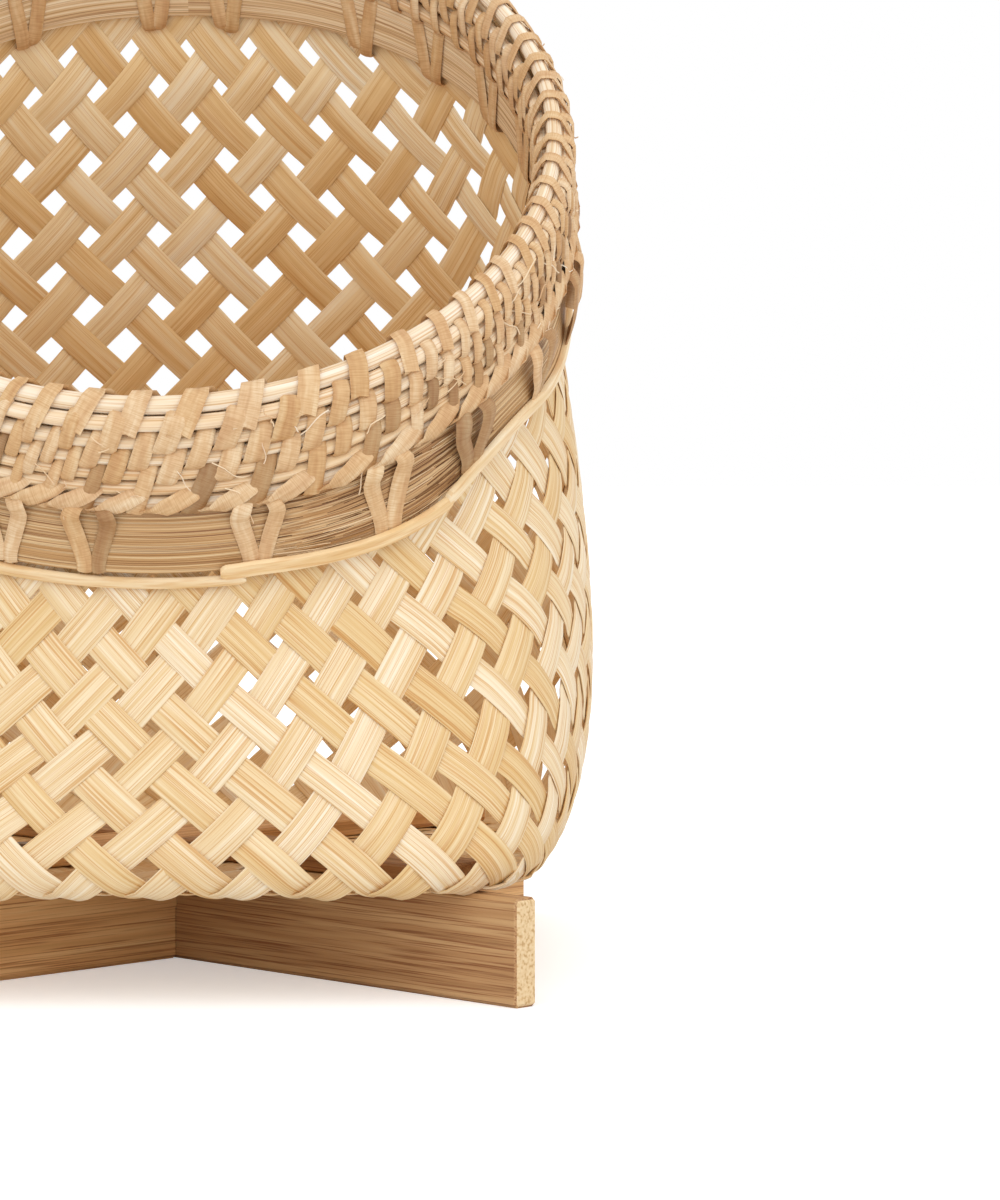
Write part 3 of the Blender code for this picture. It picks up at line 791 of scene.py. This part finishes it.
def lay_cane(ribbons, points, angle, half, tone, lean=0.0, count=9, thick=WRAP_THICK):
    """points are rows of depth, distance out and distance sideways. lean tilts the whole wrap."""
    path = smooth_path(points, count)
    depths, outs = path[:, 0], path[:, 1]
    gone = length_along(path[:, :2])
    sideways = path[:, 2] - lean * (gone - gone[-1] / 2)
    turns = angle + sideways / COLLAR_TOP_RADIUS
    depths = np.where(outs > 0.0, drawn_up(depths, turns), depths)
    centre = collar(depths, outs, turns)
    ahead = unit(np.gradient(centre, axis=0))
    across = collar(depths, outs, turns + 0.002) - collar(depths, outs, turns - 0.002)
    normal = unit(np.cross(across, ahead))
    outward = collar(depths, outs + 0.001, turns) - centre
    mostly = np.sum(normal * outward) * (1.0 if outs.max() > 0 else -1.0)
    normal = normal if mostly > 0 else -normal
    ribbons.add(centre, unit(np.cross(ahead, normal)), normal, half, thick, tone, crown=0.0002)


def over_two(first, second, out, sign):
    """Points over two neighbouring reeds, tucked behind at both ends. sign is 1 outside."""
    shape = [(first - beyond, lift) for beyond, lift in TUCK]
    shape += [((first + second) / 2, BETWEEN_LIFT)]
    shape += [(second + beyond, lift) for beyond, lift in TUCK[::-1]]
    return [(depth, out + sign * lift, 0.0) for depth, lift in shape]


def around(depth, out, reach, degrees):
    """A point beside a reed: 0 degrees is outward, 90 is down and 270 is up."""
    turns = math.radians(degrees)
    return depth + reach * math.sin(turns), out + reach * math.cos(turns), 0.0


def over_rim():
    """Points from the first inner reed over the edge to the first outer reed."""
    inside, top = (INNER_REED_DEPTHS[0], INNER_REED_OUT), (0.0, -MIDDLE)
    outside = (OUTER_REED_DEPTHS[0], OUTER_REED_OUT)
    rim = REACH + 0.0005
    stops = (
        (inside, REACH, 130), (inside, REACH + LOOSER, 180), (top, rim + LOOSER, 208),
        (top, rim, 250), (top, rim, 295), (top, rim + LOOSER, 332),
        (outside, REACH + LOOSER, 10), (outside, REACH, 60), (outside, REACH, 100))
    return [around(*beside, reach, degrees) for beside, reach, degrees in stops]


# %% Places of the columns
CLOSE_PITCH, WIDE_PITCH, WIDE_PLACE, WIDE_SPREAD = 4.7, 7.8, 17.0, 26.0
A_COLUMN_SEEN = -0.6
# The wraps get narrower by a share, from one place over so many degrees.
NARROWER, NARROW_FROM, NARROW_OVER = 0.13, 12.0, 18.0
PLACE_STEP = 0.5
place = np.linspace(-180.0, 180.0, 721)
wide = np.exp(-((place - WIDE_PLACE) / WIDE_SPREAD) ** 4)
pitch = CLOSE_PITCH + (WIDE_PITCH - CLOSE_PITCH) * wide
counted = np.concatenate([[0.0], np.cumsum(2 * PLACE_STEP / (pitch[1:] + pitch[:-1]))])
WRAP_COLUMNS = int(round(counted[-1]))
counted = counted * WRAP_COLUMNS / counted[-1]
first_column = np.interp(A_COLUMN_SEEN, place, counted) % 1.0


def column_angle(index):
    """Angle round the collar of a column, and half the width of its wraps."""
    degrees = np.interp((first_column + index) % WRAP_COLUMNS, counted, place)
    share = WRAP_SHARE * (1.0 - NARROWER * smooth_step((degrees - NARROW_FROM) / NARROW_OVER))
    width = share * COLLAR_TOP_RADIUS * math.radians(np.interp(degrees, place, pitch)) / 2
    return math.radians(degrees - 90.0), width


print("columns of wraps:", WRAP_COLUMNS)

# %% Rim wraps
wraps = Ribbons(CANE_SECTION)
outer_rows = (0.0,) + OUTER_REED_DEPTHS
before_last, last_reed = OUTER_REED_DEPTHS[-2:]
slanted = [
    (before_last - 0.0006, 0.0018, 0.0080), (before_last, 0.0044, 0.0066),
    (before_last + 0.0016, 0.0056, 0.0030), (last_reed - 0.0006, 0.0056, -0.0012),
    (last_reed + 0.0010, 0.0048, -0.0054), (last_reed + 0.0012, 0.0020, -0.0072)]
SLANTED_HALF = 0.0026
CREAM_TO_TAN, GREY = (0.0, 0.80), (0.86, 1.0)
GREY_WRAPS, GREY_LASHINGS = 0.32, 0.25


def near(angle):
    return angle + rng.normal(0, 0.003)


def some_lean(lean, angle):
    """The wraps lean at the front and stand nearly straight further round."""
    straight = float(smooth_step((math.degrees(angle) + 78.0) / 24.0))
    return lean * (1.0 - 0.75 * straight) + rng.normal(0, 0.05)


def some_half(width):
    return width * rng.uniform(0.9, 1.08)


def some_tone(grey_share=0.0):
    """Cane is cream to tan, and a share of it has weathered grey."""
    grey = grey_share > 0.0 and rng.uniform() < grey_share
    return rng.uniform(*(GREY if grey else CREAM_TO_TAN))


for column in range(WRAP_COLUMNS):
    first, first_width = column_angle(column)
    second, second_width = column_angle(column + 0.5)
    lay_cane(wraps, over_rim(), near(first), some_half(first_width) * 1.05, some_tone(),
             some_lean(RIM_LEAN, first), 14)
    for row, end_row, angle, width in (
            (1, 2, second, second_width), (2, 3, first, first_width), (3, 4, second, second_width),
            (4, 6, first, first_width)):
        points = over_two(outer_rows[row], outer_rows[end_row], OUTER_REED_OUT, 1.0)
        half = some_half(width) * (1.04 - 0.04 * row)
        tone_from = GREY_WRAPS if row >= 3 else 0.0
        lay_cane(wraps, points, near(angle), half, some_tone(tone_from), some_lean(ROW_LEAN, angle))
    for row, angle in ((0, second), (1, first)):
        points = over_two(INNER_REED_DEPTHS[row], INNER_REED_DEPTHS[row + 1], INNER_REED_OUT, -1.0)
        lean = some_lean(ROW_LEAN, angle)
        lay_cane(wraps, points, near(angle), some_half(first_width), some_tone(), lean)
    lay_cane(wraps, slanted, near(second), SLANTED_HALF, rng.uniform(0.0, 0.5))
dress(wraps.build("rim_wraps", [cane]), [])

# %% [markdown]
# ## Lashings
# Pairs of flat cane tie the hoops to the wall. A pair comes out from under the braid as two
# rounded shoulders, runs together at the bead and tucks in behind it. The same cane shows
# inside, where it crosses the inner hoop and hangs a little below it.

# %% Lashing places
LASHING_SEEN = (-19.9, -7.8, 14.6, 32.9, 47.2, 63.6, 80.0, 122.3, 137.0, 150.8, 173.8, 185.7, 206.5)
LASHING_PITCH, WIDE_GAP = 16.3, 30.0


def lashing_angles():
    """Angles round the collar: the seen ones, and even ones in the wide gaps between."""
    found = []
    for first, second in zip(LASHING_SEEN, LASHING_SEEN[1:] + (LASHING_SEEN[0] + 360.0,)):
        parts = round((second - first) / LASHING_PITCH) if second - first > WIDE_GAP else 1
        found += [first + (second - first) * i / parts for i in range(parts)]
    return [math.radians(degrees - 90.0) for degrees in found]


# %% Lashing bands
LASH_HALF, LASH_THICK, LASH_POINTS = 0.0025, 0.0009, 16
TIE_HALF, TIE_TONES, TIE_POINTS = LASH_HALF * 0.92, (0.5, 0.82), 12
TOP_SPREAD, LOW_SPREAD = 0.0049, 0.0019
LOOSE_FROM, LOOSE_TO = math.radians(40.0 - 90.0), math.radians(85.0 - 90.0)
ties = Ribbons(CANE_SECTION)
face = GAP + HOOP_THICK + LASH_THICK / 2
inner_face = -WALL - GAP - INNER_HOOP_THICK - LASH_THICK / 2


def mirrored(points, hand):
    return [(depth, out, hand * aside) for depth, out, aside in points]


for angle in lashing_angles():
    low = HOOP_LOW - float(hoop_rise(angle))
    # Near the right the lashings stand off the hoop as loops, the last one most.
    slack = 0.0016 + 0.0024 * (angle - LOOSE_FROM) if LOOSE_FROM < angle < LOOSE_TO else 0.0
    for hand in (-1, 1):
        tone = some_tone(GREY_LASHINGS)
        points = [
            (HOOP_TOP - 0.0014, face - 0.0006, 0.0028), (HOOP_TOP - 0.0020, face + 0.0020, 0.0038),
            (HOOP_TOP + 0.0002, face + 0.0028 + slack / 2, TOP_SPREAD),
            (HOOP_TOP + 0.0040, face + 0.0010 + slack, TOP_SPREAD),
            ((HOOP_TOP + low) / 2, face + 0.0002 + slack, (TOP_SPREAD + LOW_SPREAD) / 2),
            (low - 0.0036, face + slack / 2, LOW_SPREAD), (low - 0.0004, face - 0.0001, LOW_SPREAD),
            (low + 0.0003, face - 0.0018, LOW_SPREAD)]
        taper = np.interp(np.arange(LASH_POINTS), (0, 5, 15), (0.8, 1.1, 0.85))
        half = LASH_HALF * rng.uniform(0.9, 1.1) * taper
        lay_cane(ties, mirrored(points, hand), angle, half, tone, 0.0, LASH_POINTS, LASH_THICK)
        hang = rng.uniform(0.002, 0.0045)
        points = [
            (INNER_HOOP_TOP - 0.0006, inner_face + 0.0016, 0.0050),
            (INNER_HOOP_TOP + 0.0004, inner_face, 0.0048),
            ((INNER_HOOP_TOP + INNER_HOOP_LOW) / 2, inner_face - 0.0002, 0.0034),
            (INNER_HOOP_LOW, inner_face - 0.0002, 0.0020),
            (INNER_HOOP_LOW + hang, inner_face + 0.0012, 0.0012),
            (INNER_HOOP_LOW + hang + 0.0008, inner_face + 0.0034, 0.0012)]
        tone = rng.uniform(*TIE_TONES)
        lay_cane(ties, mirrored(points, hand), angle, TIE_HALF, tone, 0.0, TIE_POINTS, LASH_THICK)

# %% [markdown]
# ## A loose end
# At the right one lashing has come loose. Its broad end has turned and stands off the hoop, so
# this ribbon lies on edge: its width points outward. Its path is a depth and a distance out.

# %% Loose end
LOOSE_ANGLE, LOOSE_TONE = math.radians(84.0 - 90.0), 0.1
LOOSE_PATH = ((0.0150, 0.0042), (0.0210, 0.0044), (0.0280, 0.0054), (0.0350, 0.0058),
              (0.0415, 0.0052), (0.0455, 0.0042))
loose = smooth_path(LOOSE_PATH, LASH_POINTS)
centre = collar(loose[:, 0], loose[:, 1], LOOSE_ANGLE)
ahead = unit(np.gradient(centre, axis=0))
side = collar(loose[:, 0], loose[:, 1] + 0.001, LOOSE_ANGLE) - centre
side = unit(side - ahead * np.sum(side * ahead, axis=1, keepdims=True))
half = np.interp(np.arange(LASH_POINTS), (0, 6, 12, 15), (0.0009, 0.0024, 0.0026, 0.0019))
ties.add(centre, side, unit(np.cross(ahead, side)), half, LASH_THICK, LOOSE_TONE)
lashing_nodes = [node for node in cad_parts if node.startswith("lashing_")]
dress(ties.build("lashing_bands", [cane]), lashing_nodes)

# %% [markdown]
# ## Loose fibres
# Here and there a fine fibre has split off the cane and stands out from the braid. Each is a
# thin, curled ribbon that starts in the braid.

# %% Loose fibres
FIBRES = 110
FIBRE_HALF, FIBRE_THICK = 0.00016, 0.0002
fibres = Ribbons(CANE_SECTION)
for _ in range(FIBRES):
    angle = rng.uniform(-math.pi, math.pi)
    depth = rng.uniform(0.004, 0.029)
    swing = rng.uniform(-0.004, 0.004, size=2) + rng.uniform(-0.002, 0.002, size=(4, 2))
    points = [(depth, 0.0034, 0.0)]
    for index, (down, aside) in enumerate(swing):
        last = points[-1]
        points.append((last[0] + down * 0.6, 0.0050 + 0.0006 * index, last[2] + aside * 0.6))
    lay_cane(fibres, points, angle, FIBRE_HALF, rng.uniform(0.0, 0.5), thick=FIBRE_THICK)
dress(fibres.build("loose_fibres", [reed_core]), [])

# %% [markdown]
# ## Slats and nails
# The slats are thick bamboo, planed and nailed. Their fibres run along the slat, so the grain
# is drawn in the slat's own direction: turned by 45 degrees and stretched along it. The end
# faces look along the fibres and show them as dark dots on a paler ground.

# %% Slat material
FOOT_ARM = BASE_HALF * 2.0 ** (0.5 - 1.0 / BASE_SQUARENESS) + 0.0179
END_DEPTH = 0.0006
# Pattern sizes per metre, along the fibres and twice across them.
LINE_SCALE, BAND_SCALE, DOT_SCALE = (25.0, 2200.0, 2200.0), (9.0, 330.0, 330.0), (1.0, 900.0, 900.0)


def slat_material(name, turn, bands):
    """turn is the slat's direction in degrees. bands is a list of (place, colour)."""
    made, tree, shader = new_material(name)
    place = add(tree, "ShaderNodeTexCoord")
    along = add(tree, "ShaderNodeMapping", {"Vector": (place, "Object")},
                {"Rotation": (0.0, 0.0, math.radians(-turn))}, vector_type="POINT")
    lines = noise(tree, (along, 0), LINE_SCALE, 2.0)
    broad = noise(tree, (along, 0), BAND_SCALE, 2.0)
    base = ramp(tree, (broad, "Fac"), bands)
    drawn = ramp(tree, (lines, "Fac"), ((0.34, "#a8763c"), (0.50, "#ffffff")))
    side = multiply(tree, (base, 0), (drawn, 0), 0.75)
    dots = noise(tree, (along, 0), DOT_SCALE, 1.0)
    end = ramp(tree, (dots, "Fac"), ((0.32, "#c39c68"), (0.46, "#e0c192"), (0.70, "#ead0a6")))
    parts = add(tree, "ShaderNodeSeparateXYZ", {"Vector": (along, 0)})
    reach = add(tree, "ShaderNodeMath", {0: (parts, "X")}, operation="ABSOLUTE")
    at_end = add(tree, "ShaderNodeMath", {0: (reach, 0)}, {1: FOOT_ARM - END_DEPTH},
                 operation="GREATER_THAN")
    colour = add(tree, "ShaderNodeMix", {0: (at_end, 0), 6: (side, 2), 7: (end, 0)},
                 data_type="RGBA")
    tree.links.new(colour.outputs[2], shader.inputs["Base Color"])
    shader.inputs["Roughness"].default_value = 0.6
    raised = add(tree, "ShaderNodeBump", {"Height": (lines, "Fac")},
                 {"Strength": 0.3, "Distance": BUMP_DEPTH})
    tree.links.new(raised.outputs[0], shader.inputs["Normal"])
    return made


def repaint(node, finish):
    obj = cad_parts[node]
    obj.data.materials.clear()
    obj.data.materials.append(finish)


# %% Paint the slats and nails
# Both slats are the same bamboo. The left one's colours are painted lighter, as painted light, and
# the right one's darker, as painted shade; the floor slats inside take the same two finishes.
LEFT_BANDS_PAINTED_LIGHT = ((0.30, "#cc9a60"), (0.50, "#e2b076"), (0.70, "#f0c88e"))
RIGHT_BANDS_PAINTED_SHADE = ((0.30, "#a3774a"), (0.50, "#b78a5b"), (0.70, "#caa272"))
for side, turn, bands in (("right", -45.0, RIGHT_BANDS_PAINTED_SHADE), ("left", 45.0, LEFT_BANDS_PAINTED_LIGHT)):
    finish = slat_material("bamboo_slat_" + side, turn, bands)
    repaint("foot_slat_" + side, finish)
    repaint("floor_slat_" + side, finish)
nail_finish, _, nail_shader = new_material("wire_nail_steel")
set_inputs(nail_shader, {"Base Color": linear("#8d8983"), "Metallic": 1.0, "Roughness": 0.45})
for index in range(4):
    repaint(f"floor_nail_{index + 1}", nail_finish)

# %% [markdown]
# ## Floor, light and camera
# A pale floor runs far behind the basket. Two very wide suns and an even world give soft light,
# so that the floor stays white up to the contact shadow under the foot. The camera is the one
# that the frame was fitted with.

# %% Floor
FLOOR_SIZE, FLOOR_GLOW = 14.0, 0.37
deselect()
bpy.ops.mesh.primitive_plane_add(size=FLOOR_SIZE, location=(0.0, 0.0, 0.0))
floor = bpy.context.object
floor.name = "stage_floor"
floor_finish, floor_tree, floor_shader = new_material("white_floor")
set_inputs(floor_shader, {
    "Base Color": linear("#f6f6f6"), "Roughness": 0.9, "Specular IOR Level": 0.0})
path = add(floor_tree, "ShaderNodeLightPath")
glow = add(floor_tree, "ShaderNodeEmission", {"Strength": (path, "Is Camera Ray")})
glow.inputs["Color"].default_value = (FLOOR_GLOW, FLOOR_GLOW, FLOOR_GLOW, 1.0)
total = add(floor_tree, "ShaderNodeAddShader", {0: (floor_shader, 0), 1: (glow, 0)})
floor_tree.links.new(total.outputs[0], floor_tree.nodes["Material Output"].inputs["Surface"])
floor.data.materials.append(floor_finish)

# %% World
WORLD_LEVEL = 0.78
world = bpy.data.worlds.new("studio")
bpy.context.scene.world = world
world.use_nodes = True
sky = world.node_tree
sky.nodes["Background"].inputs["Color"].default_value = (1.0, 1.0, 1.0, 1.0)
rays = add(sky, "ShaderNodeLightPath")
direct = add(sky, "ShaderNodeMath", {0: (rays, "Is Camera Ray"), 1: (rays, "Is Glossy Ray")},
             operation="MAXIMUM")
clear = add(sky, "ShaderNodeMath", {0: (direct, 0), 1: (rays, "Is Transmission Ray")},
            operation="MAXIMUM")
level = add(sky, "ShaderNodeMapRange", {"Value": (clear, 0)},
            {"To Min": WORLD_LEVEL, "To Max": 1.0})
sky.links.new(level.outputs[0], sky.nodes["Background"].inputs["Strength"])


# %% Suns
def wide_sun(name, place, strength, spread):
    """A sun that shines from the place towards the basket, spread over many degrees."""
    light = bpy.data.lights.new(name, "SUN")
    light.energy = strength
    light.angle = math.radians(spread)
    lamp = bpy.data.objects.new(name, light)
    bpy.context.scene.collection.objects.link(lamp)
    lamp.location = place
    lamp.rotation_euler = (-Vector(place)).to_track_quat("-Z", "Y").to_euler()


wide_sun("key_sun", (-0.6, -1.3, 1.3), 0.70, 70.0)
wide_sun("fill_sun", (1.3, -1.0, 1.0), 0.70, 90.0)

# %% Camera
CAMERA_PLACE = (0.08813, -1.2, 0.16914)
CAMERA_TURN = (math.pi / 2 - 0.04949, 0.0, -0.00937)
camera_data = bpy.data.cameras.new("camera")
camera_data.sensor_fit = "HORIZONTAL"
camera_data.sensor_width = 36.0
camera_data.lens = 140.8
camera = bpy.data.objects.new("camera", camera_data)
bpy.context.scene.collection.objects.link(camera)
camera.location = CAMERA_PLACE
camera.rotation_euler = CAMERA_TURN
bpy.context.scene.camera = camera
bpy.context.scene.view_settings.view_transform = "Standard"
